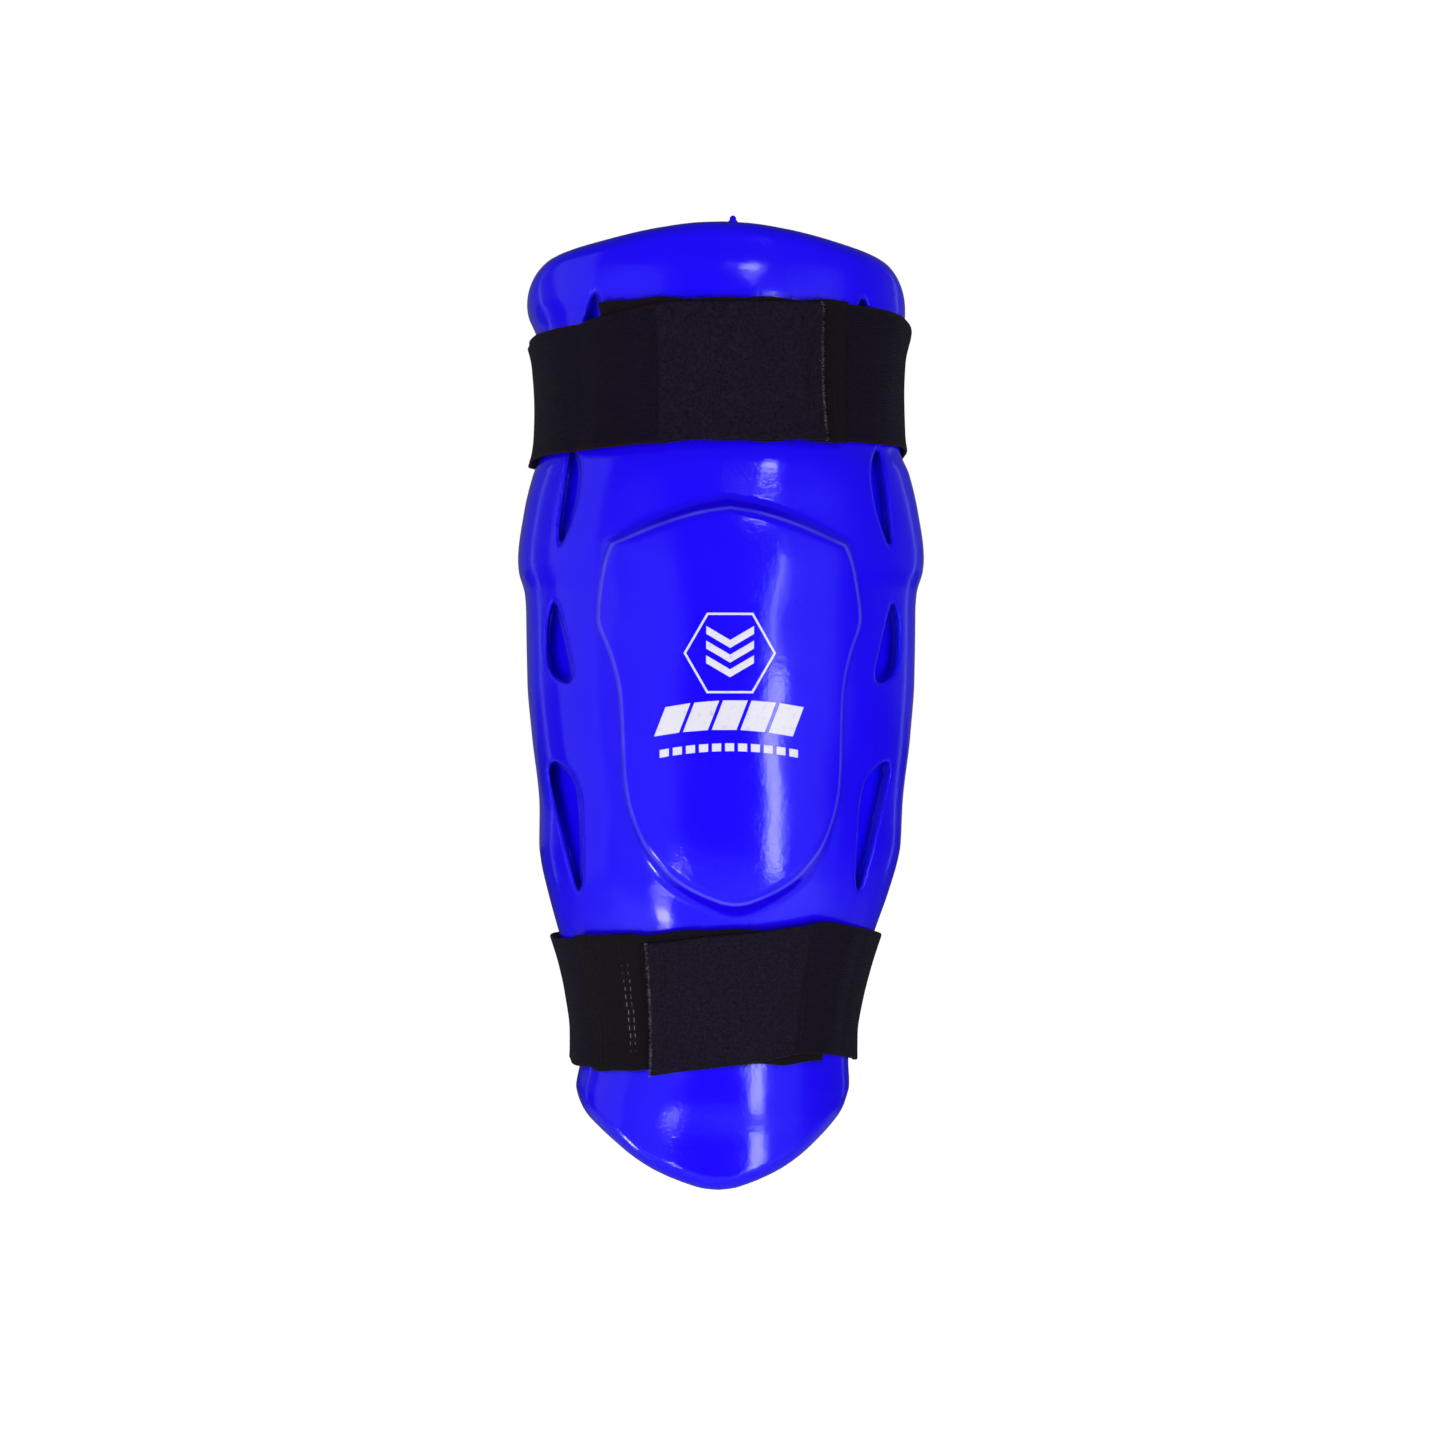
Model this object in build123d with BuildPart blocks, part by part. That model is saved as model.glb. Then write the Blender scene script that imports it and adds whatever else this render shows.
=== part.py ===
"""Dipped-foam limb guard with two hook-and-loop straps.

The frame: the origin is on the limb's axis at the guard's mid height, +Z runs up the limb,
-Y is the guard's front, and +X is to the right of someone looking at that front.
"""

import math
import os

from build123d import *

# ---- the moulding -------------------------------------------------------------------------
WALL = 10.0  # core and skin together
SKIN = 0.8  # dipped vinyl
REAR_Y = 12.0  # the guard's rear edges
REAR_CORNER_R = 16.0
TOP_Z = 184.5
TOP_SIDE_Z = 175.5
TOP_SIDE_X = 68.0
TOP_SIDE_DROP = 7.0  # from there out to the profile's edge
TIP_Z = -168.0
LOW_CORNER_Z = -134.0
LOW_CORNER = [(55.0, LOW_CORNER_Z), (48.0, -144.5), (38.0, -152.0)]  # round: start, middle, end
REAR_TOP_Z = 174.5
REAR_LOW_Z = -147.0
NUB_R = 2.2  # drip left by the dipping
LIMB_REAR = 20.0  # how far the limb's space reaches behind the rear edges

# Sizes that only have to be larger than the guard, for the solids that trim it.
CLEAR_X = 90.0
CLEAR_Y = 100.0
CLEAR_Z = 200.0

# The plan is a squarish oval: |x / half width| ** BOXINESS + |y / depth| ** BOXINESS = 1.
BOXINESS = 2.35
PLAN_STEPS = 14

# Outer half width and front depth of the guard at each height.
STATIONS = [
    (200.0, 73.6, 62.0),
    (172.0, 73.6, 63.0),
    (152.0, 71.4, 63.0),
    (128.0, 68.9, 62.5),
    (106.0, 70.6, 64.0),
    (88.0, 76.2, 66.0),
    (64.0, 78.8, 67.5),
    (36.0, 75.9, 67.0),
    (0.0, 73.9, 64.5),
    (-36.0, 70.8, 60.0),
    (-58.0, 67.0, 56.5),
    (-78.0, 61.0, 52.5),
    (-102.0, 55.2, 48.5),
    (-126.0, 52.8, 46.0),
    (-150.0, 52.2, 44.5),
    (-185.0, 51.5, 43.0),
]

# ---- the shield pad -----------------------------------------------------------------------
PAD_RISE = 4.6  # above the core at the pad's edge
SHIELD_HALF = [  # half of the outline, from the top point down to the bottom point
    (0.0, 81.0),
    (42.5, 70.0),
    (47.5, 41.0),
    (42.5, 28.0),
    (39.5, 10.0),
    (39.5, -14.0),
    (37.5, -27.0),
    (33.0, -40.0),
    (21.0, -54.0),
    (0.0, -66.0),
]

# ---- the moulded recesses, right-hand side --------------------------------------------------
RECESS_DEPTH = 6.0
RECESSES = [
    [(45.5, 160.0), (52.5, 148.0), (52.5, 128.0), (48.0, 120.0), (44.0, 130.0), (43.5, 148.0)],
    [(55.0, 101.0), (58.5, 90.0), (61.5, 72.0), (58.0, 67.5), (54.0, 76.0), (51.5, 94.0)],
    [(61.5, 50.5), (66.0, 42.0), (66.5, 26.0), (61.0, 19.5), (56.5, 21.5), (57.0, 32.0)],
    [(61.5, -9.5), (65.0, -18.0), (62.0, -32.0), (57.0, -57.0), (53.5, -56.0), (52.0, -22.0)],
]

# ---- the straps ---------------------------------------------------------------------------
WEB = 1.6  # elastic and hook tape
LOOP_RISE = 1.8  # loop tape at the middle of the front
LOOP_SIDE_RISE = 0.3  # and at the limb's side, where its ends thin out
GAP = 0.3  # running clearance between bodies
SIDE_STAND = 2.4  # how far the outer layer stands off at the limb's side
OUTER_STAND = GAP + WEB + LOOP_RISE + GAP  # and at the front
BACK_STAND = 1.3
HINGE_GAP = 1.8  # half of the bare gap in which the elastic bends
SEAM_GAP = 1.5
SKEW_FROM_X = -50.0  # where a skewed strap begins to rise towards its seam

UPPER = {
    "name": "upper",
    "z": (104.0, 154.0),
    "skew": 0.0,
    "rear_depth": 50.0,
    "mirrored": False,
    "loop_x": (-43.0, 40.0),
    "seam_x": -25.0,
    "free_x": 36.0,
}
LOWER = {
    "name": "lower",
    "z": (-126.0, -77.0),
    "skew": 9.0,
    "rear_depth": 37.0,
    "mirrored": True,
    "loop_x": (-37.0, 46.0),
    "seam_x": -26.0,
    "free_x": 29.0,
}

STITCH = 2.2
STITCH_PITCH = 3.6
STITCH_THICK = 0.7
STITCH_PROUD = 0.35
STITCH_DEPTH = 0.9
STITCH_MARGIN = 3.0  # from the webbing's long edges
LOOP_STITCH_SINK = 0.45  # below the pile
LOOP_STITCH_INSET = 4.0  # from the loop tape's ends
SEAM_STITCH_INSET = 5.0  # from the seam and from the tab's free end


def width_and_depth(z):
    """The guard's half width and depth at a height, by straight lines between stations."""
    for high, low in zip(STATIONS, STATIONS[1:]):
        if low[0] <= z <= high[0]:
            share = (z - low[0]) / (high[0] - low[0])
            return tuple(b + (a - b) * share for a, b in zip(high[1:], low[1:]))
    raise ValueError(f"no station near z = {z}")


def plan_front(half, depth):
    """Points round the front half of the plan's oval, from its left side to its right."""
    points = []
    for i in range(PLAN_STEPS + 1):
        turn = math.pi * i / PLAN_STEPS
        across, ahead = math.cos(turn), math.sin(turn)
        x = math.copysign(half * abs(across) ** (2 / BOXINESS), -across)
        points.append((x, -depth * ahead ** (2 / BOXINESS)))
    return points


def column(side, front, rear_depth=0.0):
    """A solid column as high as the stations, offset outwards by side and front.

    Its plan is the front half of the oval and straight sides back to the rear edges, which
    half an ellipse closes behind the limb if rear_depth is given.
    """
    with BuildPart() as solid:
        for z, half_width, depth in STATIONS:
            half = half_width + side
            with BuildSketch(Plane.XY.offset(z)):
                with BuildLine():
                    Spline(*plan_front(half, depth + front), tangents=[(0, -1), (0, 1)])
                    Line((half, 0), (half, REAR_Y))
                    if rear_depth:
                        rear = rear_depth + side
                        EllipticalCenterArc((0, REAR_Y), half, rear, 0, arc_size=180)
                    else:
                        Line((half, REAR_Y), (-half, REAR_Y))
                    Line((-half, REAR_Y), (-half, 0))
                make_face()
        loft()
    return solid.part


def outline(points, inset=0.0):
    """A front-view outline extruded right through the guard, made smaller by inset."""
    with BuildPart() as prism:
        with BuildSketch(Plane.XZ):
            with BuildLine():
                Polyline(*points, close=True)
            make_face()
            if inset:
                offset(amount=-inset)
        extrude(amount=CLEAR_X, both=True)
    return prism.part


def edge_profile(inset):
    """The front view of the whole guard, which trims its top and bottom edges."""
    side = CLEAR_X
    shoulder = TOP_SIDE_Z - TOP_SIDE_DROP
    far_corner = mirrored(LOW_CORNER)
    with BuildPart() as prism:
        with BuildSketch(Plane.XZ):
            with BuildLine():
                Line((-side, LOW_CORNER_Z), (-side, shoulder))
                Line((-side, shoulder), (-TOP_SIDE_X, TOP_SIDE_Z))
                ThreePointArc((-TOP_SIDE_X, TOP_SIDE_Z), (0, TOP_Z), (TOP_SIDE_X, TOP_SIDE_Z))
                Line((TOP_SIDE_X, TOP_SIDE_Z), (side, shoulder))
                Line((side, shoulder), (side, LOW_CORNER_Z))
                Line((side, LOW_CORNER_Z), LOW_CORNER[0])
                ThreePointArc(*LOW_CORNER)
                Line(LOW_CORNER[-1], (0, TIP_Z))
                Line((0, TIP_Z), far_corner[0])
                ThreePointArc(*far_corner)
                Line(far_corner[-1], (-side, LOW_CORNER_Z))
            make_face()
            offset(amount=-inset)
        extrude(amount=CLEAR_X, both=True)
    return prism.part


def rear_corners(inset):
    """The side view of the guard, whose rear corners are round."""
    rear = REAR_Y - inset
    start = rear - REAR_CORNER_R
    mid = REAR_CORNER_R * (1 - math.sqrt(0.5))
    with BuildPart() as prism:
        with BuildSketch(Plane.YZ):
            with BuildLine():
                Polyline(
                    (-CLEAR_Y, -CLEAR_Z), (rear, -CLEAR_Z), (rear, CLEAR_Z), (-CLEAR_Y, CLEAR_Z), close=True
                )
            make_face()
        extrude(amount=CLEAR_X, both=True)
        for z, turn in ((REAR_TOP_Z, 1), (REAR_LOW_Z, -1)):
            far = z + REAR_CORNER_R * 3 * turn
            near = z - REAR_CORNER_R * turn
            with BuildSketch(Plane.YZ):
                with BuildLine():
                    Polyline((start, z), (start, far), (rear + 1, far), (rear + 1, near), (rear, near))
                    ThreePointArc((rear, near), (rear - mid, z - mid * turn), (start, z))
                make_face()
            extrude(amount=CLEAR_X, both=True, mode=Mode.SUBTRACT)
    return prism.part


def mirrored(points):
    """The same outline on the other side of the guard."""
    return [(-x, z) for x, z in reversed(points)]


def moulding(inset):
    """The curved wall between the limb and the guard's front, made thinner by inset."""
    with BuildPart() as wall:
        add(column(-inset, -inset))
        add(column(inset - WALL, inset - WALL, LIMB_REAR), mode=Mode.SUBTRACT)
        add(edge_profile(inset), mode=Mode.INTERSECT)
        add(rear_corners(inset), mode=Mode.INTERSECT)
    return wall.part


def keep_front(limit=0.0):
    """Keeps only what lies in front of a plane across the limb."""
    with Locations((0, limit - CLEAR_Y, 0)):
        Box(CLEAR_X * 2, CLEAR_Y * 2, CLEAR_Z * 2, mode=Mode.INTERSECT)


def keep_back(limit):
    """Keeps only what lies behind a plane across the limb."""
    with Locations((0, limit + CLEAR_Y, 0)):
        Box(CLEAR_X * 2, CLEAR_Y * 2, CLEAR_Z * 2, mode=Mode.INTERSECT)


def recess_cutters(inset):
    """The teardrop recesses of both sides, as deep as RECESS_DEPTH below the surface."""
    with BuildPart() as cutters:
        for points in RECESSES:
            add(outline(points, -inset))
            add(outline(mirrored(points), -inset))
        add(column(-RECESS_DEPTH - inset, -RECESS_DEPTH - inset), mode=Mode.SUBTRACT)
        keep_front()
    return cutters.part


def shield(inset):
    """The pad's volume above the core, from the core's surface to its own."""
    points = SHIELD_HALF + [(-x, z) for x, z in SHIELD_HALF[-2:0:-1]]
    with BuildPart() as pad:
        add(outline(points, inset))
        keep_front()
        add(column(-inset, PAD_RISE - inset), mode=Mode.INTERSECT)
        add(column(-inset, -inset), mode=Mode.SUBTRACT)
    return pad.part


def band(stand, rise, profile):
    """A strip of webbing in front of the hinges, cut to a front-view profile.

    stand and rise are how far it stands off the guard and how thick it is, each of them
    at the limb's side and at the middle of the front.
    """
    with BuildPart() as strip:
        add(column(stand[0] + rise[0], stand[1] + rise[1]))
        add(column(*stand), mode=Mode.SUBTRACT)
        add(outline(profile), mode=Mode.INTERSECT)
        keep_front(REAR_Y - HINGE_GAP)
    return strip.part


def back_band(profile, rear_depth):
    """The run of webbing behind the limb."""
    with BuildPart() as strip:
        add(column(BACK_STAND + WEB, BACK_STAND + WEB, rear_depth))
        add(column(BACK_STAND, BACK_STAND, rear_depth), mode=Mode.SUBTRACT)
        add(outline(profile), mode=Mode.INTERSECT)
        keep_back(REAR_Y + HINGE_GAP)
    return strip.part


def facing(strap, points):
    """Front-view points of a strap, which is drawn unmirrored, on its own side."""
    return [(-x, z) for x, z in points] if strap["mirrored"] else points


def lift(strap, x):
    """How far a skewed strap is raised: it rises to its seam, and falls again along its tab."""
    seam, free = strap["seam_x"], strap["free_x"]
    if x <= SKEW_FROM_X:
        return 0.0
    if x <= seam:
        return strap["skew"] * (x - SKEW_FROM_X) / (seam - SKEW_FROM_X)
    return strap["skew"] * (free - x) / (free - seam)


def run_profile(strap, x_from, x_to):
    """The front view of the outer layer between two x positions."""
    low, high = strap["z"]
    bends = (-CLEAR_X, SKEW_FROM_X, strap["seam_x"])
    stops = sorted({x_from, x_to, *(x for x in bends if x_from < x < x_to)})
    top = [(x, high + lift(strap, x)) for x in stops]
    bottom = [(x, low + lift(strap, x)) for x in reversed(stops)]
    return facing(strap, top + bottom)


def plain_profile(strap, x_from, x_to):
    """The front view of a layer that lies straight."""
    low, high = strap["z"]
    points = [(x_from, low), (x_to, low), (x_to, high), (x_from, high)]
    return facing(strap, points)


def surface_y(x, z, stand_side, stand_front):
    """How far forward the surface of an offset layer is at a point of the front view."""
    half_width, depth = width_and_depth(z)
    across = (abs(x) / (half_width + stand_side)) ** BOXINESS
    return -(depth + stand_front) * (1 - across) ** (1 / BOXINESS)


def surface_turn(x, y, z):
    """How many degrees the surface is turned from facing straight to the front."""
    half_width, depth = width_and_depth(z)
    across = (abs(x) / half_width) ** (BOXINESS - 1) / half_width
    ahead = (abs(y) / depth) ** (BOXINESS - 1) / depth
    return math.degrees(math.atan2(math.copysign(across, x), ahead))


def stitch_row(strap, x, stand_side, stand_front, rise, proud):
    """A row of separate stitches across the webbing, each sunk into it."""
    low, high = strap["z"]
    sign = -1 if strap["mirrored"] else 1
    count = int((high - low - 2 * STITCH_MARGIN) / STITCH_PITCH)
    with BuildPart() as row:
        for i in range(count + 1):
            z = (low + high) / 2 + rise + (i - count / 2) * STITCH_PITCH
            y = surface_y(x, z, stand_side, stand_front)
            outward = Vector(0, -1, 0).rotate(Axis.Z, sign * surface_turn(x, y, z))
            with BuildSketch(Plane((sign * x, y, z), z_dir=outward).offset(-STITCH_DEPTH)):
                Rectangle(STITCH_THICK, STITCH)
            extrude(amount=STITCH_DEPTH + proud)
    return row.part


def save(part, name):
    """Labels a piece and writes its STEP file."""
    part.label = name
    export_step(part, f"parts/{name}.step")


def make_straps(strap):
    """All the pieces of one strap."""
    name = strap["name"]
    loop_from, loop_to = strap["loop_x"]
    seam, free = strap["seam_x"], strap["free_x"]
    on_guard = (GAP, GAP)
    on_anchor = (GAP + WEB, GAP + WEB)
    on_loop = (SIDE_STAND, OUTER_STAND)
    web = (WEB, WEB)

    anchor = band(on_guard, web, plain_profile(strap, loop_from, CLEAR_X))
    save(anchor, f"{name}_anchor_elastic")

    loop_rise = (LOOP_SIDE_RISE, LOOP_RISE)
    loop = band(on_anchor, loop_rise, plain_profile(strap, loop_from, loop_to))
    save(loop, f"{name}_loop_tape")

    loop_top = [a + b for a, b in zip(on_anchor, loop_rise)]
    with BuildPart() as loop_stitches:
        for x in (loop_from + LOOP_STITCH_INSET, loop_to - LOOP_STITCH_INSET):
            add(stitch_row(strap, x, *loop_top, 0.0, -LOOP_STITCH_SINK))
    save(loop_stitches.part, f"{name}_loop_stitches")

    whole = plain_profile(strap, -CLEAR_X, CLEAR_X)
    save(back_band(whole, strap["rear_depth"]), f"{name}_back_elastic")

    side_run = band(on_loop, web, run_profile(strap, -CLEAR_X, seam - SEAM_GAP))
    save(side_run, f"{name}_side_elastic")

    tab = band(on_loop, web, run_profile(strap, seam + SEAM_GAP, free))
    save(tab, f"{name}_hook_tab")

    outer_top = [a + b for a, b in zip(on_loop, web)]
    for label, x in (("seam", seam - SEAM_STITCH_INSET), ("tab", free - SEAM_STITCH_INSET)):
        row = stitch_row(strap, x, *outer_top, lift(strap, x), STITCH_PROUD)
        save(row, f"{name}_{label}_stitches")


os.makedirs("parts", exist_ok=True)

with BuildPart() as foam_core:
    add(moulding(SKIN))
    add(recess_cutters(SKIN), mode=Mode.SUBTRACT)
save(foam_core.part, "foam_core")

with BuildPart() as shield_pad:
    add(shield(SKIN))
save(shield_pad.part, "shield_pad")

with BuildPart() as vinyl_skin:
    add(moulding(0.0))
    add(recess_cutters(0.0), mode=Mode.SUBTRACT)
    add(shield(0.0))
    with Locations((0, -(STATIONS[1][2] - WALL / 2), TOP_Z)):
        Sphere(NUB_R)
    add(foam_core.part, mode=Mode.SUBTRACT)
    add(shield_pad.part, mode=Mode.SUBTRACT)
save(vinyl_skin.part, "vinyl_skin")

make_straps(UPPER)
make_straps(LOWER)
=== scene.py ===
"""Blender model of the dipped-foam limb guard and its two hook-and-loop straps.

Shapes are worked out in millimetres in the CAD frame and become metres in make_mesh.
"""

import math

import bmesh
import bpy
import numpy as np
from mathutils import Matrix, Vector


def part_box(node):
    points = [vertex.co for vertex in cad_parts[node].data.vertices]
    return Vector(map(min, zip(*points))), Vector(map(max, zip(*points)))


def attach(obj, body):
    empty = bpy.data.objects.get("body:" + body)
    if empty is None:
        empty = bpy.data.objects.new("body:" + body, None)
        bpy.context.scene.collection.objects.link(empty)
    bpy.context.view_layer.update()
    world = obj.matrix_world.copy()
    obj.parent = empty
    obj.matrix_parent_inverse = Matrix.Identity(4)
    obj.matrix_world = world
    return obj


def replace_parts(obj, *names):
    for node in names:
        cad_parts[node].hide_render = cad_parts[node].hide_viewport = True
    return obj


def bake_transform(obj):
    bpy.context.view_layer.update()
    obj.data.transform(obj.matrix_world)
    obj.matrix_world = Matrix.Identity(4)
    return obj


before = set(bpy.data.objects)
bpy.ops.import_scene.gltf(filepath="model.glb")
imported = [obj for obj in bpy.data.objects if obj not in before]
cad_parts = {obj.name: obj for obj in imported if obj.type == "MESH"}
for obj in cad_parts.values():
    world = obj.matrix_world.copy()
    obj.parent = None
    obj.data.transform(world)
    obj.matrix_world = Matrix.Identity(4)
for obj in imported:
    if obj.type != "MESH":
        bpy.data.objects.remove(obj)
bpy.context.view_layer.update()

MM = 0.001
RNG = np.random.default_rng(7)


def node_box(name):
    """A CAD node's lowest and highest corners in millimetres."""
    low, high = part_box(name)
    return np.array(low) / MM, np.array(high) / MM


CORE_LOW, CORE_HIGH = node_box("foam_core")
SKIN = 0.8  # the dipped coating
WALL = 10.0  # foam and coating together
REAR_Y = CORE_HIGH[1] + SKIN
TOP_Z = CORE_HIGH[2] + SKIN
TIP_Z = CORE_LOW[2] - SKIN

# ---- the guard's form -----------------------------------------------------------------------
# Outer half width and front depth at each height.
STATIONS = [
    (-190.0, 53.0, 43.0),
    (-150.0, 53.8, 44.5),
    (-134.0, 53.9, 46.0),
    (-124.0, 52.9, 46.4),
    (-115.0, 53.0, 47.0),
    (-102.0, 54.9, 48.5),
    (-90.0, 57.6, 50.4),
    (-78.0, 61.2, 52.5),
    (-60.0, 66.9, 56.2),
    (-48.0, 69.8, 58.4),
    (-42.0, 70.6, 59.3),
    (-28.0, 70.9, 61.0),
    (0.0, 73.9, 64.5),
    (20.0, 75.6, 66.0),
    (46.0, 75.8, 67.0),
    (53.0, 76.3, 67.2),
    (62.0, 78.7, 67.5),
    (66.0, 79.0, 67.4),
    (84.0, 76.8, 66.4),
    (98.0, 73.6, 65.2),
    (106.0, 70.3, 63.5),
    (114.0, 69.2, 62.8),
    (128.0, 68.8, 62.5),
    (142.0, 69.6, 62.6),
    (152.0, 71.8, 62.5),
    (160.0, 73.6, 63.9),
    (168.0, 74.0, 64.2),
    (178.0, 73.8, 63.4),
    (200.0, 73.6, 61.5),
]
BOXINESS = 2.35  # exponent of the plan's superellipse; 2 is an ellipse

# Where the middle is at each height: the worn guard sits a little crooked.
MIDDLES = [
    (-190.0, -3.4),
    (-139.0, -3.4),
    (-124.0, -2.6),
    (-100.0, -2.3),
    (-75.0, -1.9),
    (-60.0, -1.2),
    (-20.0, -0.3),
    (100.0, -0.3),
    (150.0, -0.5),
    (160.0, -2.0),
    (175.0, -2.7),
    (200.0, -2.7),
]

# Front views of the top and bottom edges: distance from the middle, height.
TOP_EDGE = [(0, 185.4), (8, 185.1), (23, 183.3), (44.6, 179.4), (58.9, 176.8), (66.5, 174.6), (90, 168.0)]
LOW_EDGE = [
    (0, -168.2),
    (5, -167.7),
    (11.2, -166.0),
    (23.2, -161.2),
    (31.4, -156.4),
    (37.8, -151.6),
    (43.7, -147.0),
    (49.0, -142.6),
    (52.5, -137.5),
    (60.0, -118.0),
]

# Half of each recess outline, (distance from the middle, height), for both sides.
RECESSES = [
    [
        *((48.5, 161.5), (46.2, 156), (45.8, 146), (46.6, 132), (49, 123)),
        *((51.8, 125), (53.6, 138), (53.2, 150), (50.8, 159)),
    ],
    [
        *((55, 107), (51.9, 99), (52.0, 91), (53.4, 83), (56.0, 75), (59.2, 68)),
        *((61.2, 67), (62.2, 73), (60.6, 87), (59.2, 98), (57.8, 106)),
    ],
    [
        *((61.9, 50.5), (58.9, 42.5), (56.5, 32), (54.2, 22), (55.6, 18.2)),
        *((60, 18.9), (64.8, 23.4), (65.8, 36), (64.6, 46)),
    ],
    [
        *((61.5, -8.6), (55.2, -12.4), (51.1, -19), (50.0, -31), (49.4, -46), (49.5, -56)),
        *((51.9, -59.4), (54.6, -52), (59, -34), (63.1, -18), (63.7, -12)),
    ],
]
RECESS_DEPTH = 7.0
RECESS_TAPER = 0.06  # how much a recess narrows with depth
RECESS_TRIMS = [0.9, 1.4, 0.9, 1.0]  # for each outline, what its rounded rim adds
RECESS_DRIFT = [(-70.0, -3.3), (-33.0, -3.1), (35.0, -1.6), (85.0, -1.2), (165.0, 0.0)]
RECESS_REACH = 4.0  # how far round an outline its recess is worked out

# The shield's foot, from its top point down the right-hand side to its bottom point.
SHIELD_HALF = [
    (0, 85.0),
    (12, 83.2),
    (28, 77.5),
    (43.6, 69.4),
    (45.6, 62),
    (48.0, 44),
    (47.6, 39),
    (43.6, 29),
    (40.9, 18),
    (40.2, 6),
    (39.9, -14),
    (38.6, -25),
    (35.2, -36.5),
    (32.2, -44.5),
    (26.8, -53.0),
    (16.0, -60.8),
    (0, -67.0),
]
SHIELD_SHARP = (0, 3)  # corners of that outline that stay crisp
SHIELD_EDGE = 1.5  # rise at the side edges
SHIELD_CROWN = 3.6  # more at the middle
SHIELD_LEAN = 0.02  # the moulded shield leans a little off the vertical
SHIELD_WAIST = 11.0  # height of the middle of its crisp part
SHIELD_CRISP = 34.0  # half the height of that part
SHIELD_FADE = 26.0  # height over which the edge then turns to a bevel
SHIELD_STEEPS = (4.0, 3.0)  # slope of the crisp edge, and how much less the bevel's is
CREST_RADII = (0.5, 0.9)  # rounding along the crisp crest, and how much more along the bevel
FOOT_RADII = (0.35, 0.85)  # the same for the fillet at the foot
SHIELD_ROOT = 5.0  # how far the plate reaches into the foam
SHIELD_SPAN = (TIP_Z + 90.0, 96.0)  # heights between which it is worked out
SHIELD_HALF_SPAN = 58.0

TOP_CORNER_RADIUS = 12.0
REAR_CORNER_RADIUS = 16.0
OUTER_EDGE_RADIUS = 6.0
INNER_EDGE_RADIUS = 2.5
RIM_RADIUS = 1.3
POCKET_FLOOR_RADIUS = 2.0

# A point that far from a moulded edge gets no painted highlight line.
FAR_OFF = 50.0  # stands for no moulded edge near
CELL = 1.25  # grid pitch of the guard's mesh


class Profile:
    """A smooth curve through points that doesn't overshoot between them."""

    def __init__(self, xs, ys):
        self.xs, self.ys = np.array(xs, float), np.array(ys, float)
        self.step = np.diff(self.xs)
        slope = np.diff(self.ys) / self.step
        a, b = slope[:-1], slope[1:]
        total = np.where(np.abs(a + b) > 1e-9, a + b, 1.0)
        self.tangent = np.concatenate([slope[:1], np.where(a * b > 0, 2 * a * b / total, 0.0), slope[-1:]])

    def __call__(self, x):
        i = np.clip(np.searchsorted(self.xs, x) - 1, 0, len(self.step) - 1)
        h = self.step[i]
        s = (x - self.xs[i]) / h
        s2, s3 = s * s, s * s * s
        return (
            (2 * s3 - 3 * s2 + 1) * self.ys[i]
            + (s3 - 2 * s2 + s) * h * self.tangent[i]
            + (3 * s2 - 2 * s3) * self.ys[i + 1]
            + (s3 - s2) * h * self.tangent[i + 1]
        )


HALF_WIDTH = Profile([s[0] for s in STATIONS], [s[1] for s in STATIONS])
DEPTH = Profile([s[0] for s in STATIONS], [s[2] for s in STATIONS])
MIDDLE = Profile(*zip(*MIDDLES))
TOP = Profile(*zip(*TOP_EDGE))
LOW = Profile(*zip(*LOW_EDGE))
DRIFT = Profile(*zip(*RECESS_DRIFT))


def both(a, b, radius):
    """Where both solids are, with a round edge; negative is inside."""
    corner = np.hypot(np.maximum(a + radius, 0), np.maximum(b + radius, 0))
    return np.minimum(np.maximum(a, b), -radius) + corner


def either(a, b, radius):
    """Where either solid is, with a fillet between them."""
    return -both(-a, -b, radius)


def softened(points, sharp=(), rounds=2):
    """A closed outline with its corners cut again and again, but for the sharp ones."""
    points = [(np.array(p, float), i in sharp) for i, p in enumerate(points)]
    for _ in range(rounds):
        cut = []
        for (p, p_sharp), (q, _) in zip(points, points[1:] + points[:1]):
            if p_sharp:
                cut.append((p, True))
            cut.append((p * 0.75 + q * 0.25, False))
            cut.append((p * 0.25 + q * 0.75, False))
        points = cut
    return np.array([p for p, _ in points])


def outline_distance(x, z, outline):
    """Signed distance to a closed outline in the front view; negative inside."""
    best = np.full(x.shape, 1e9)
    inside = np.zeros(x.shape, bool)
    for (ax, az), (bx, bz) in zip(outline, np.roll(outline, -1, axis=0)):
        ex, ez = bx - ax, bz - az
        share = np.clip(((x - ax) * ex + (z - az) * ez) / (ex * ex + ez * ez), 0, 1)
        best = np.minimum(best, np.hypot(x - ax - share * ex, z - az - share * ez))
        crosses = (az > z) != (bz > z)
        inside ^= crosses & (x < ax + (z - az) * ex / (ez if ez else 1e-9))
    return np.where(inside, -best, best)


SHIELD = softened(
    SHIELD_HALF + [(-x, z) for x, z in SHIELD_HALF[-2:0:-1]],
    sharp=(*SHIELD_SHARP, len(SHIELD_HALF) * 2 - 2 - SHIELD_SHARP[1]),
)
RECESS_OUTLINES = [softened(points) for points in RECESSES]


def oval(ax, y, half, depth):
    """Distance outside the plan oval, whose sides run straight back behind y = 0."""
    fx, fy = ax / half, np.maximum(-y, 0) / depth
    r = np.maximum((fx**BOXINESS + fy**BOXINESS) ** (1 / BOXINESS), 0.05)
    gx = fx ** (BOXINESS - 1) / half
    gy = fy ** (BOXINESS - 1) / depth
    return (r - 1) * r ** (BOXINESS - 1) / np.maximum(np.hypot(gx, gy), 1e-4)


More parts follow.
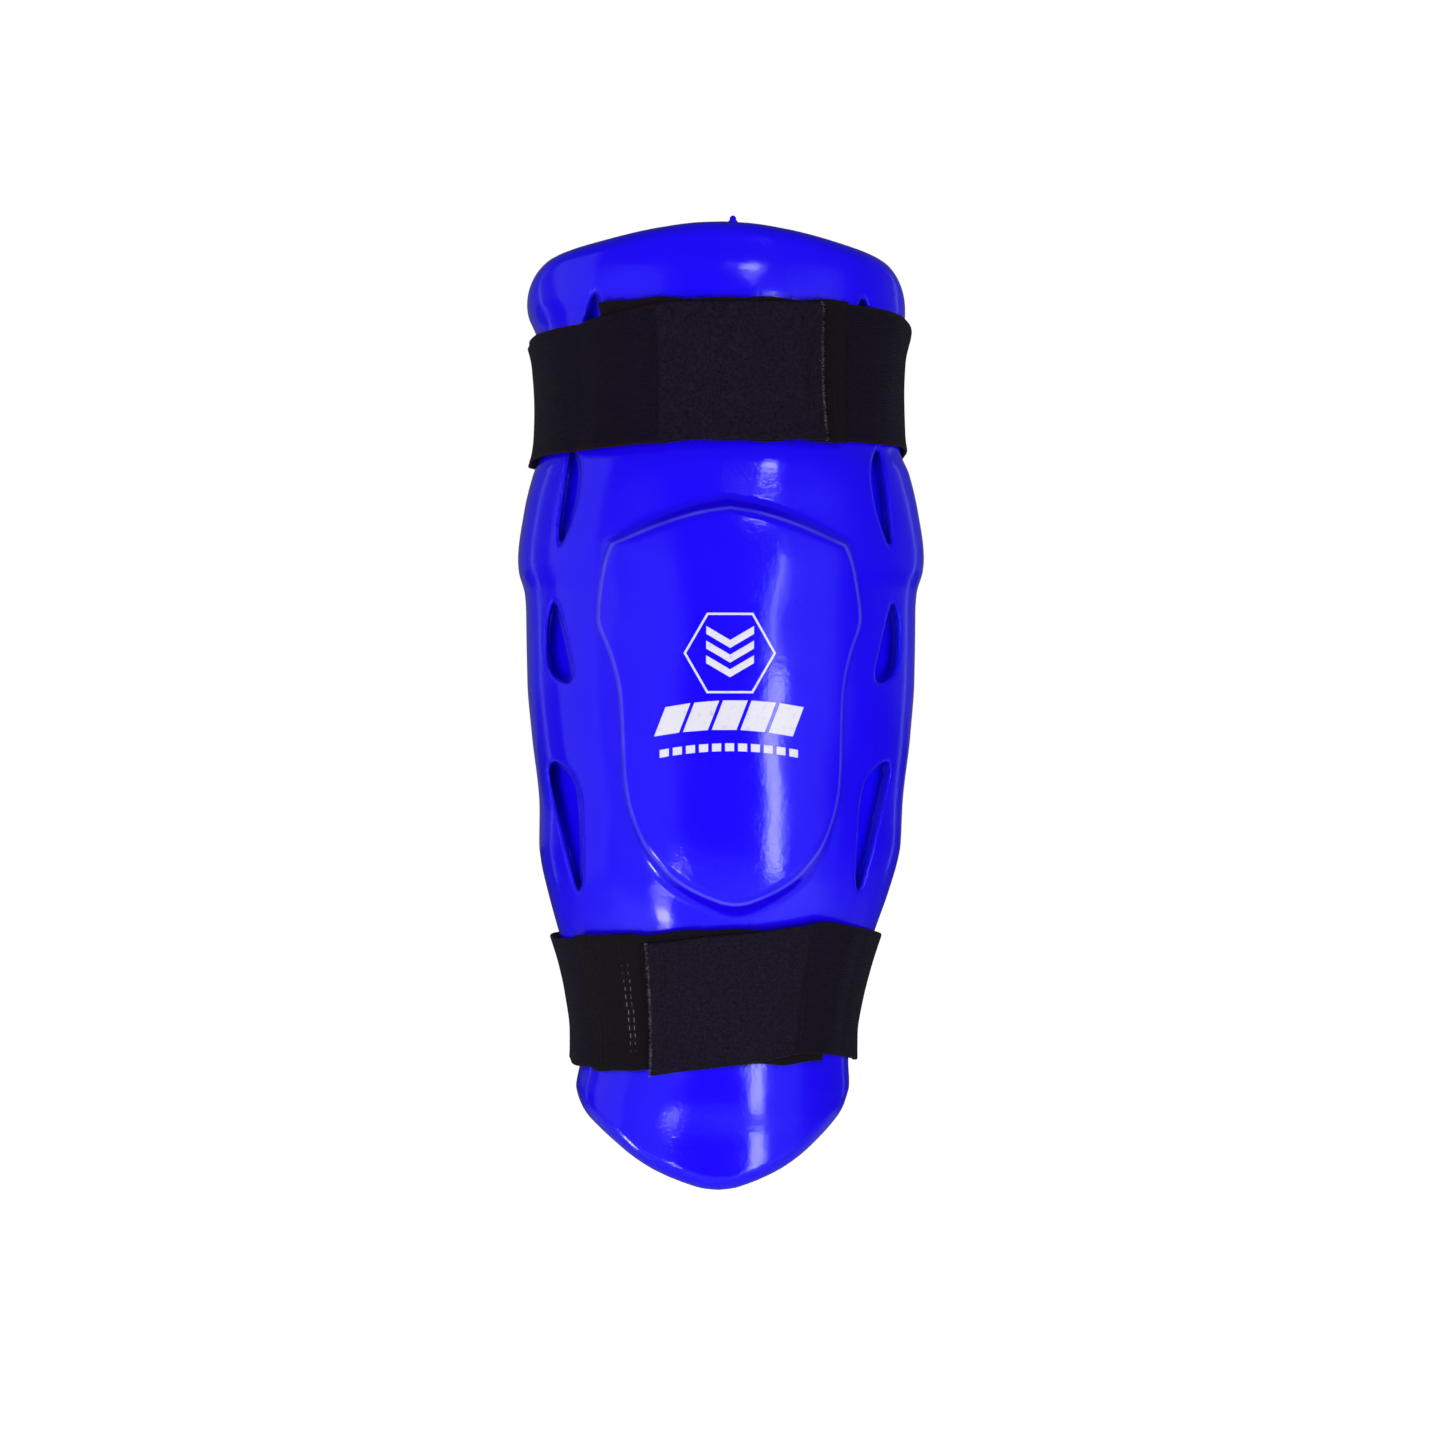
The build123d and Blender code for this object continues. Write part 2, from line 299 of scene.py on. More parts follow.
def swell(x, y, z):
    """The slight unevenness of soft foam."""
    return (
        0.16 * np.sin(x / 9.0 + z / 23.0 + 1.0)
        + 0.14 * np.sin(z / 13.0 - y / 17.0 + x / 31.0)
        + 0.10 * np.sin(z / 6.5 + x / 11.0 + 2.0)
    )


def edge_distance(across, z, edge):
    """Distance above a front-view edge, allowing for its slope."""
    slope = edge(across + 0.5) - edge(np.abs(across - 0.5))
    return (z - edge(across)) / np.hypot(1.0, slope)


def shield_shape(x, z):
    """Distance outside the shield's foot, its rise, and how steep and how bevelled its edge is."""
    bevel = np.clip((np.abs(z - SHIELD_WAIST) - SHIELD_CRISP) / SHIELD_FADE, 0, 1)
    bevel = bevel * bevel * (3 - 2 * bevel)
    foot = outline_distance(x - SHIELD_LEAN * (10 - z), z, SHIELD)
    rise = SHIELD_EDGE + SHIELD_CROWN * (1 - (x / 50.0) ** 2)
    return foot, rise, SHIELD_STEEPS[0] - SHIELD_STEEPS[1] * bevel, bevel


def shield_plate(x, z, out):
    """Distance to the raised shield, and the radius of the fillet at its foot."""
    foot, rise, steep, bevel = shield_shape(x, z)
    flank = (steep * foot + out) / np.hypot(steep, 1.0)
    plate = both(out - rise, flank, CREST_RADII[0] + CREST_RADII[1] * bevel)
    return np.maximum(plate, -out - SHIELD_ROOT), FOOT_RADII[0] + FOOT_RADII[1] * bevel


def guard_field(p):
    """Signed distance to the finished guard's surface at points in millimetres."""
    y, z = p[:, 1], p[:, 2]
    x = p[:, 0] - MIDDLE(z)
    ax = np.abs(x)
    half, depth = HALF_WIDTH(z), DEPTH(z)
    out = oval(ax, y, half, depth) - swell(x, y, z)
    inn = oval(ax, y, half - WALL, depth - WALL)

    top = both(edge_distance(ax, z, TOP), ax - half, TOP_CORNER_RADIUS)
    bottom = -edge_distance(ax, z, LOW)
    trim = both(np.maximum(top, bottom), y - REAR_Y, REAR_CORNER_RADIUS)
    body = both(out, trim, OUTER_EDGE_RADIUS)

    on_front = (ax < SHIELD_HALF_SPAN) & (y < 0) & (out > 1.0 - WALL)
    near = np.flatnonzero(on_front & (z > SHIELD_SPAN[0]) & (z < SHIELD_SPAN[1]))
    if len(near):
        plate, fillet = shield_plate(p[near, 0], z[near], out[near])
        body[near] = either(body[near], plate, fillet)

    side = np.abs(p[:, 0] - DRIFT(z))
    for outline, rim in zip(RECESS_OUTLINES, RECESS_TRIMS):
        low, high = outline.min(0) - RECESS_REACH, outline.max(0) + RECESS_REACH
        in_view = (side > low[0]) & (side < high[0]) & (z > low[1]) & (z < high[1])
        near = np.flatnonzero(in_view & (y < -2.0) & (out < 2 * RECESS_DEPTH))
        if len(near):
            hole = outline_distance(side[near], z[near], outline) + rim
            deep = out[near] + RECESS_DEPTH
            pocket = both(hole - RECESS_TAPER * deep, -deep, POCKET_FLOOR_RADIUS)
            body[near] = both(body[near], -pocket, RIM_RADIUS)
    return both(body, -inn, INNER_EDGE_RADIUS)


def field_gradient(p, reach=0.05):
    """The field's slope along x, y and z, from points a reach to each side."""
    steps = np.eye(3) * reach
    return np.stack([(guard_field(p + s) - guard_field(p - s)) / (2 * reach) for s in steps], axis=1)


def surface_net(low, high, cell, field):
    """A quad mesh of a field's surface: one point per grid cell that the surface crosses."""
    size = np.ceil((high - low) / cell).astype(int) + 1
    axes = [low[i] + cell * np.arange(size[i]) for i in range(3)]
    values = np.empty(size)
    for k, z in enumerate(axes[2]):
        gx, gy = np.meshgrid(axes[0], axes[1], indexing="ij")
        layer = np.stack([gx.ravel(), gy.ravel(), np.full(gx.size, z)], axis=1)
        values[:, :, k] = field(layer).reshape(gx.shape)
    solid = values < 0
    corners = [(i, j, k) for i in (0, 1) for j in (0, 1) for k in (0, 1)]

    def at(array, c):
        return array[c[0] : size[0] - 1 + c[0], c[1] : size[1] - 1 + c[1], c[2] : size[2] - 1 + c[2]]

    count = sum(at(solid, c).astype(np.int8) for c in corners)
    mixed = (count > 0) & (count < 8)
    cells = np.argwhere(mixed)
    index = np.full(mixed.shape, -1)
    index[mixed] = np.arange(len(cells))
    total, crossings = np.zeros((len(cells), 3)), np.zeros(len(cells))
    corner_values = {c: at(values, c)[mixed] for c in corners}
    for a in corners:
        for axis in range(3):
            if a[axis]:
                continue
            b = tuple(1 if i == axis else a[i] for i in range(3))
            va, vb = corner_values[a], corner_values[b]
            cross = (va < 0) != (vb < 0)
            share = np.where(cross, va / np.where(cross, va - vb, 1.0), 0.0)
            spot = np.array(a, float) + share[:, None] * (np.array(b) - np.array(a))
            total += np.where(cross[:, None], spot, 0.0)
            crossings += cross
    points = low + cell * (cells + total / crossings[:, None])

    faces = []
    for axis in range(3):
        u, v = (axis + 1) % 3, (axis + 2) % 3
        ahead = np.moveaxis(solid, axis, 0)
        change = np.argwhere(ahead[1:] != ahead[:-1])
        spots = np.empty_like(change)
        order = [axis] + [i for i in range(3) if i != axis]
        for column, real in enumerate(order):
            spots[:, real] = change[:, column]
        inner = np.all((spots > 0) & (spots < size - 1), axis=1)
        spots = spots[inner]
        starts_solid = solid[spots[:, 0], spots[:, 1], spots[:, 2]]
        quad = []
        for du, dv in ((0, 0), (-1, 0), (-1, -1), (0, -1)):
            c = spots.copy()
            c[:, u] += du
            c[:, v] += dv
            quad.append(index[c[:, 0], c[:, 1], c[:, 2]])
        quad = np.stack(quad, axis=1)
        quad[~starts_solid] = quad[~starts_solid][:, ::-1]
        faces.append(quad)
    faces = np.concatenate(faces)
    return points, faces[np.all(faces >= 0, axis=1)]


def make_mesh(name, points, faces, material, smooth=True, outward=False):
    """An object from points in millimetres."""
    mesh = bpy.data.meshes.new(name)
    mesh.from_pydata((np.asarray(points, float) * MM).tolist(), [], [list(map(int, f)) for f in faces])
    mesh.materials.append(material)
    mesh.validate()
    if outward:
        work = bmesh.new()
        work.from_mesh(mesh)
        bmesh.ops.recalc_face_normals(work, faces=work.faces)
        work.to_mesh(mesh)
        work.free()
    mesh.update()
    if smooth:
        mesh.polygons.foreach_set("use_smooth", [True] * len(mesh.polygons))
    obj = bpy.data.objects.new(name, mesh)
    bpy.context.scene.collection.objects.link(obj)
    return obj


def tube_faces(rings, around, first=0):
    """The sides of a tube whose rings of points follow each other, from a first point on."""
    faces = []
    for i in range(rings - 1):
        for j in range(around):
            a, b = first + i * around + j, first + i * around + (j + 1) % around
            faces.append((a, b, b + around, a + around))
    return faces


# ---- materials --------------------------------------------------------------------------------
class Nodes:
    """Short forms for a material's nodes."""

    def __init__(self, name):
        self.material = bpy.data.materials.new(name)
        self.material.use_nodes = True
        self.tree = self.material.node_tree
        self.shader = self.tree.nodes["Principled BSDF"]

    def add(self, kind, settings=None, **inputs):
        node = self.tree.nodes.new(kind)
        for key, value in (settings or {}).items():
            setattr(node, key, value)
        for key, value in inputs.items():
            self.put(node.inputs[key.replace("_", " ")], value)
        return node

    def put(self, socket, value):
        if isinstance(value, bpy.types.NodeSocket):
            self.tree.links.new(value, socket)
        else:
            socket.default_value = value

    def place(self):
        """Places on the object, which move with it."""
        return self.add("ShaderNodeTexCoord").outputs["Object"]

    def math(self, operation, *values):
        node = self.tree.nodes.new("ShaderNodeMath")
        node.operation = operation
        for socket, value in zip(node.inputs, values):
            self.put(socket, value)
        return node.outputs[0]

    def mix(self, share, a, b):
        node = self.tree.nodes.new("ShaderNodeMix")
        node.data_type = "RGBA"
        self.put(node.inputs["Factor"], share)
        self.put(node.inputs["A"], a)
        self.put(node.inputs["B"], b)
        return node.outputs["Result"]

    def ramp(self, value, *stops):
        node = self.tree.nodes.new("ShaderNodeValToRGB")
        self.put(node.inputs[0], value)
        while len(node.color_ramp.elements) < len(stops):
            node.color_ramp.elements.new(0.5)
        for element, (place, level) in zip(node.color_ramp.elements, stops):
            element.position = place
            element.color = (level, level, level, 1)
        return node.outputs[0]

    def noise(self, vector, scale, detail=2.0, roughness=0.5):
        node = self.add("ShaderNodeTexNoise", Scale=scale, Detail=detail, Roughness=roughness)
        self.put(node.inputs["Vector"], vector)
        return node.outputs["Fac"]

    def bump(self, height, strength, distance, below=None):
        node = self.add("ShaderNodeBump", Strength=strength, Distance=distance)
        self.put(node.inputs["Height"], height)
        if below is not None:
            self.put(node.inputs["Normal"], below)
        return node.outputs["Normal"]

    def set(self, **inputs):
        for key, value in inputs.items():
            self.put(self.shader.inputs[key.replace("_", " ")], value)
        return self.material


def vinyl_material():
    """Glossy dipped vinyl: orange peel, slow ripples and scuffs, and painted highlight lines along the
    shield's crest and the recess rims.
    """
    n = Nodes("dipped_vinyl")
    place = n.place()
    shade = n.noise(place, 14.0, 3.0)
    colour = n.mix(shade, (0.0098, 0.0010, 0.90, 1), (0.0112, 0.0015, 0.96, 1))
    # Painted highlight: thin pale lines along the shield's crest and each recess rim, patchy along their
    # length, stand in for the light these edges catch.
    highlight_breakup = n.ramp(n.noise(place, 55.0, 3.0), (0.25, 0.35), (0.60, 1.0))
    for name, share in (("painted_highlight_crest", 0.75), ("painted_highlight_rim", 0.35)):
        off = n.add("ShaderNodeAttribute", {"attribute_name": name}).outputs["Fac"]
        line = n.ramp(n.math("MULTIPLY", n.math("ABSOLUTE", off), 0.5), (0.08, 1.0), (0.42, 0.0))
        thin = n.math("MULTIPLY", n.math("MULTIPLY", line, highlight_breakup), share)
        colour = n.mix(thin, colour, (0.125, 0.112, 0.97, 1))
    scuff = n.ramp(n.noise(place, 260.0, 4.0, 0.65), (0.62, 0.0), (0.75, 1.0))
    rough = n.math("ADD", n.math("MULTIPLY", scuff, 0.08), n.math("MULTIPLY", n.noise(place, 60.0), 0.05))
    ripple = n.bump(n.noise(place, 90.0, 2.0), 0.10, 0.002)
    peel = n.bump(n.noise(place, 900.0, 3.0), 0.16, 0.0004, ripple)
    return n.set(
        Base_Color=colour,
        Roughness=n.math("ADD", rough, 0.10),
        Normal=peel,
        IOR=1.5,
        Coat_Weight=0.35,
        Coat_Roughness=0.08,
    )


def weave(n, rib, pick):
    """A plain weave's height, the UV place in millimetres and its part across the strap."""
    uv = n.add("ShaderNodeUVMap", {"uv_map": "weave"}).outputs["UV"]
    split = n.add("ShaderNodeSeparateXYZ", Vector=uv)
    along, across = split.outputs["X"], split.outputs["Y"]
    warp = n.math("SINE", n.math("MULTIPLY", across, math.tau / rib))
    weft = n.math("SINE", n.math("MULTIPLY", along, math.tau / pick))
    crossing = n.math("MULTIPLY", warp, weft)
    height = n.math("ADD", n.math("MULTIPLY", warp, 0.5), n.math("MULTIPLY", crossing, 0.5))
    return height, uv, across


def elastic_material():
    """Black woven elastic: fine lengthwise ribs, tight picks, a brownish selvedge."""
    n = Nodes("woven_elastic")
    height, _, across = weave(n, rib=1.0, pick=0.75)
    place = n.place()
    fuzz = n.ramp(n.noise(place, 1300.0, 4.0, 0.7), (0.34, 0.0), (0.68, 1.0))
    # Painted shade of the ribs: the weave's raised threads are drawn lighter and its hollows darker, on top
    # of a random fibre tone.
    weave_shade_and_fibre_tone = n.math("MULTIPLY_ADD", height, 0.15, fuzz)
    body = n.mix(weave_shade_and_fibre_tone, (0.0016, 0.0010, 0.0040, 1), (0.0085, 0.0062, 0.0175, 1))
    edge = n.ramp(n.math("ABSOLUTE", n.math("DIVIDE", across, 25.0)), (0.93, 0.0), (0.99, 1.0))
    colour = n.mix(edge, body, (0.011, 0.0040, 0.0055, 1))
    rise = n.math("ADD", height, n.math("MULTIPLY", fuzz, 0.8))
    return n.set(
        Base_Color=colour,
        Roughness=n.math("MULTIPLY_ADD", fuzz, 0.2, 0.62),
        Normal=n.bump(rise, 0.35, 0.00025),
        Sheen_Weight=0.04,
        Sheen_Roughness=0.5,
        Sheen_Tint=(0.5, 0.45, 0.55, 1),
        Specular_IOR_Level=0.15,
    )


def hook_material():
    """The back of hook tape: a flat open weave with small pits, slightly violet."""
    n = Nodes("hook_tape")
    height, uv, _ = weave(n, rib=1.5, pick=1.3)
    place = n.place()
    scaled = n.add("ShaderNodeVectorMath", {"operation": "MULTIPLY"})
    n.put(scaled.inputs[0], uv)
    n.put(scaled.inputs[1], (0.30, 0.30, 1.0))
    cell = n.add("ShaderNodeTexVoronoi", {"feature": "F1"}, Scale=1.0, Vector=scaled.outputs[0])
    pits = n.ramp(cell.outputs["Distance"], (0.06, 0.0), (0.16, 1.0))
    fuzz = n.ramp(n.noise(place, 1250.0, 4.0, 0.7), (0.34, 0.0), (0.70, 1.0))
    tone = n.mix(fuzz, (0.0022, 0.0015, 0.0050, 1), (0.0145, 0.0114, 0.0250, 1))
    # Painted shade: the weave's pits are drawn near black, on top of a random fibre tone.
    colour = n.mix(pits, (0.0015, 0.0013, 0.002, 1), tone)
    rise = n.math("ADD", n.math("MULTIPLY", height, 0.15), n.math("ADD", fuzz, pits))
    return n.set(
        Base_Color=colour,
        Roughness=0.78,
        Normal=n.bump(rise, 0.6, 0.0003),
        Sheen_Weight=0.05,
        Sheen_Roughness=0.45,
        Sheen_Tint=(0.6, 0.55, 0.7, 1),
        Specular_IOR_Level=0.15,
    )


def pile_material():
    """Loop tape: a nap of tangled fine loops."""
    n = Nodes("loop_pile")
    place = n.place()
    tangle = n.noise(place, 1300.0, 5.0, 0.7)
    clump = n.noise(place, 260.0, 3.0)
    colour = n.mix(tangle, (0.0028, 0.0021, 0.0036, 1), (0.0120, 0.0088, 0.0135, 1))
    rise = n.math("ADD", tangle, n.math("MULTIPLY", clump, 0.8))
    return n.set(
        Base_Color=colour,
        Roughness=0.9,
        Normal=n.bump(rise, 0.9, 0.0006),
        Sheen_Weight=0.10,
        Sheen_Roughness=0.4,
        Sheen_Tint=(0.5, 0.46, 0.55, 1),
        Specular_IOR_Level=0.12,
    )


def thread_material():
    """Twisted polyester thread."""
    n = Nodes("sewing_thread")
    place = n.place()
    twist = n.noise(place, 2500.0, 2.0)
    colour = n.mix(twist, (0.002, 0.0016, 0.0035, 1), (0.006, 0.0050, 0.0090, 1))
    return n.set(
        Base_Color=colour,
        Roughness=0.55,
        Normal=n.bump(twist, 0.5, 0.0002),
        Sheen_Weight=0.05,
        Specular_IOR_Level=0.2,
    )


def fray_material():
    """Cut ends of the webbing, bleached where the blade melted them."""
    n = Nodes("frayed_ends")
    place = n.place()
    patch = n.noise(place, 420.0, 3.0)
    colour = n.mix(n.ramp(patch, (0.30, 0.0), (0.55, 1.0)), (0.02, 0.018, 0.025, 1), (0.14, 0.13, 0.155, 1))
    return n.set(Base_Color=colour, Roughness=0.6, Normal=n.bump(patch, 0.3, 0.0002))


def ink_material():
    """White screen-print ink, thin in places."""
    n = Nodes("print_ink")
    place = n.place()
    thin = n.ramp(n.noise(place, 420.0, 4.0, 0.6), (0.25, 0.0), (0.45, 1.0))
    colour = n.mix(thin, (0.52, 0.52, 0.74, 1), (0.72, 0.71, 0.80, 1))
    return n.set(Base_Color=colour, Roughness=0.35, Normal=n.bump(n.noise(place, 900.0), 0.1, 0.0002))


VINYL = vinyl_material()
ELASTIC = elastic_material()
HOOK = hook_material()
PILE = pile_material()
THREAD = thread_material()
FRAY = fray_material()
INK = ink_material()


# ---- the guard --------------------------------------------------------------------------------
def add_values(piece, values_of):
    """Stores numbers at a mesh's points, where its material reads them by name."""
    for name, values in values_of.items():
        piece.data.attributes.new(name, "FLOAT", "POINT").data.foreach_set("value", values)


def highlight_line_distances(points):
    """Distances to the shield's crest and to the nearest recess rim, in millimetres, which place the vinyl's
    painted highlight lines.
    """
    x, y, z = points.T
    foot, rise, steep, _ = shield_shape(x, z)
    rims = [
        outline_distance(np.abs(x - DRIFT(z)), z, outline) + rim
        for outline, rim in zip(RECESS_OUTLINES, RECESS_TRIMS)
    ]
    inside = oval(np.abs(x - MIDDLE(z)), y, HALF_WIDTH(z), DEPTH(z)) < 0.2 - WALL
    crest = np.where(inside, FAR_OFF, foot + 0.8 * rise / steep)
    return {"painted_highlight_crest": crest, "painted_highlight_rim": np.where(inside, FAR_OFF, np.min(rims, axis=0))}


def make_guard():
    """The dipped foam: the field's surface as a mesh, with the distances that place its painted highlight
    lines stored on it, and shaded by its slope.
    """
    margin, proud = 3.0, 9.0  # round the oval, and for the shield in front of it
    reach = HALF_WIDTH.ys.max() + margin
    low = np.array([-reach, -(DEPTH.ys.max() + proud), TIP_Z - margin])
    high = np.array([reach, REAR_Y + margin, TOP_Z + margin])
    points, faces = surface_net(low, high, CELL, guard_field)
    rounds, furthest = 4, 0.5
    for _ in range(rounds):
        slope = field_gradient(points)
        steep = np.maximum((slope**2).sum(1), 0.05)
        move = np.clip(guard_field(points) / steep, -furthest, furthest)
        points = points - slope * move[:, None]
    guard = make_mesh("dipped_foam_guard", points, faces, VINYL)
    add_values(guard, highlight_line_distances(points))
    slope = field_gradient(points, 0.12)
    slope /= np.maximum(np.linalg.norm(slope, axis=1, keepdims=True), 1e-6)
    guard.data.normals_split_custom_set_from_vertices(slope.tolist())
    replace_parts(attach(guard, "guard"), "foam_core", "shield_pad", "vinyl_skin")


def front_y(x, z):
    """How far forward the guard's surface is at points of the front view."""
    x, z = np.asarray(x, float), np.asarray(z, float)
    before, deepest = -85.0, -10.0
    y = np.full(x.shape, before)
    for _ in range(60):  # walk in by the field's own distance
        gap = guard_field(np.stack([x, y, z], axis=1))
        y = np.minimum(y + np.maximum(gap, 0.0) * 0.9, deepest)
    return y


def make_nub():
    """The drip left where the dipped guard hung: rings of (height, radius)."""
    rings = [(0.0, 2.0), (0.7, 1.7), (1.2, 1.15), (1.9, 1.2), (2.4, 0.9), (2.75, 0.4), (2.85, 0.02)]
    around = 20
    base = np.array([0.6, -(DEPTH(TOP_Z) - WALL / 2 - 1.0), TOP(0.0) - 0.6])
    points = [
        base + np.array([r * math.cos(a), r * math.sin(a), h])
        for h, r in rings
        for a in np.linspace(0, math.tau, around, endpoint=False)
    ]
    faces = tube_faces(len(rings), around)
    faces += [tuple(range(len(points) - around, len(points))), tuple(reversed(range(around)))]
    nub = make_mesh("drip_nub", points, faces, VINYL)
    # No painted highlight lines on the drip.
    add_values(nub, {"painted_highlight_crest": [FAR_OFF] * len(points), "painted_highlight_rim": [FAR_OFF] * len(points)})
    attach(nub, "guard")


# ---- printed emblem ---------------------------------------------------------------------------
def printed_strip(lefts, rights, points, faces):
    """Adds a strip of ink between two rows of front-view points."""
    first = len(points)
    for a, b in zip(lefts, rights):
        points += [a, b]
    for i in range(len(lefts) - 1):
        k = first + 2 * i
        faces.append((k, k + 1, k + 3, k + 2))


def make_emblem(centre=(-1.5, 29.0), size=16.5):
    """A plain six-sided badge with chevrons, over a row of slanted blocks and a row of dashes."""
    cx, cz = centre
    points, faces = [], []

    def patch(a, b, c, d, across, up):
        """Ink inside four corners, in a grid fine enough to lie on the curved shield."""
        a, b, c, d = (np.array(p, float) for p in (a, b, c, d))
        for i in range(up):
            low, high = i / up, (i + 1) / up
            stops = np.linspace(0, 1, across + 1)
            left_low, right_low = a + (d - a) * low, b + (c - b) * low
            left_high, right_high = a + (d - a) * high, b + (c - b) * high
            printed_strip(
                [left_low + (right_low - left_low) * s for s in stops],
                [left_high + (right_high - left_high) * s for s in stops],
                points,
                faces,
            )

    line = 0.9
    turns = np.radians(np.arange(30, 391, 60))
    outer = [(cx + size * math.sin(a), cz + size * math.cos(a)) for a in turns]
    inner = [(cx + (size - line) * math.sin(a), cz + (size - line) * math.cos(a)) for a in turns]
    for p, q, qi, pi in zip(outer, outer[1:], inner[1:], inner):
        patch(p, q, qi, pi, 20, 1)

    half_bar, span = 1.4, 8.5
    for drop in (4.2, -1.0, -6.2):
        tip, arm = cz + drop - 1.0, cz + drop + 4.0
        for end in (cx - span, cx + span):
            low_arm, high_arm = (end, arm - half_bar), (end, arm + half_bar)
            patch((cx, tip - half_bar), low_arm, high_arm, (cx, tip + half_bar), 10, 3)

    half, gap, sag = 25.5, 1.4, 2.6  # of both rows: half length, space between blocks, droop
    for drop, tall, count, lean, up in ((-22.0, 10.5, 5, 4.0, 9), (-33.5, 2.8, 11, 0.0, 3)):
        pitch = 2 * half / count
        for k in range(count):
            left = -half + k * pitch + gap / 2
            sides = (left, left + pitch - gap)
            middles = [cz + drop - sag * (x / half) ** 2 for x in sides]
            feet = [(cx + x - lean / 2, z - tall / 2) for x, z in zip(sides, middles)]
            heads = [(cx + x + lean / 2, z + tall / 2) for x, z in zip(sides, middles)]
            patch(feet[0], feet[1], heads[1], heads[0], 9, up)
    flat = np.array(points)
    ink_rise = 0.06
    y = front_y(flat[:, 0], flat[:, 1]) - ink_rise
    solid = np.stack([flat[:, 0], y, flat[:, 1]], axis=1)
    emblem = make_mesh("printed_emblem", solid, faces, INK)
    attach(emblem, "guard")


# ---- straps -----------------------------------------------------------------------------------
QUARTER = 1.0  # a route's turn is 4 all round: 0 in front, 1 at the anchor's side, 2 behind
STRAIGHT = 0.2  # share of a turn spent on each straight side
WEB = 1.5  # thickness of the webbing
PILE_RISE = 1.6  # thickness of the loop tape with its nap
ON_GUARD = 0.15  # heights above the guard: of the anchor's underside
ON_BACK = 1.3  # of the webbing behind the limb
ON_ANCHOR = ON_GUARD + WEB
ON_PILE = ON_ANCHOR + PILE_RISE + 0.15
RUN_STEP = 1.5
SECTION_STEPS = 21
THREAD_R = 0.18
FIBRE_R = 0.05
STITCH_SINK = 0.2  # how deep stitches lie in the nap
SETTLE = 22.0  # run over which a strap leaves the guard for the space behind the limb
SLANT_RUN = 12.0  # run past the seam over which the hook tab's slant comes in
PULLED = ((0.55, 0.35), (3.8, 0.3))  # turns where the narrowing starts and ends, and over how much
EDGE_CURL = 0.15
RIPPLE = 0.08


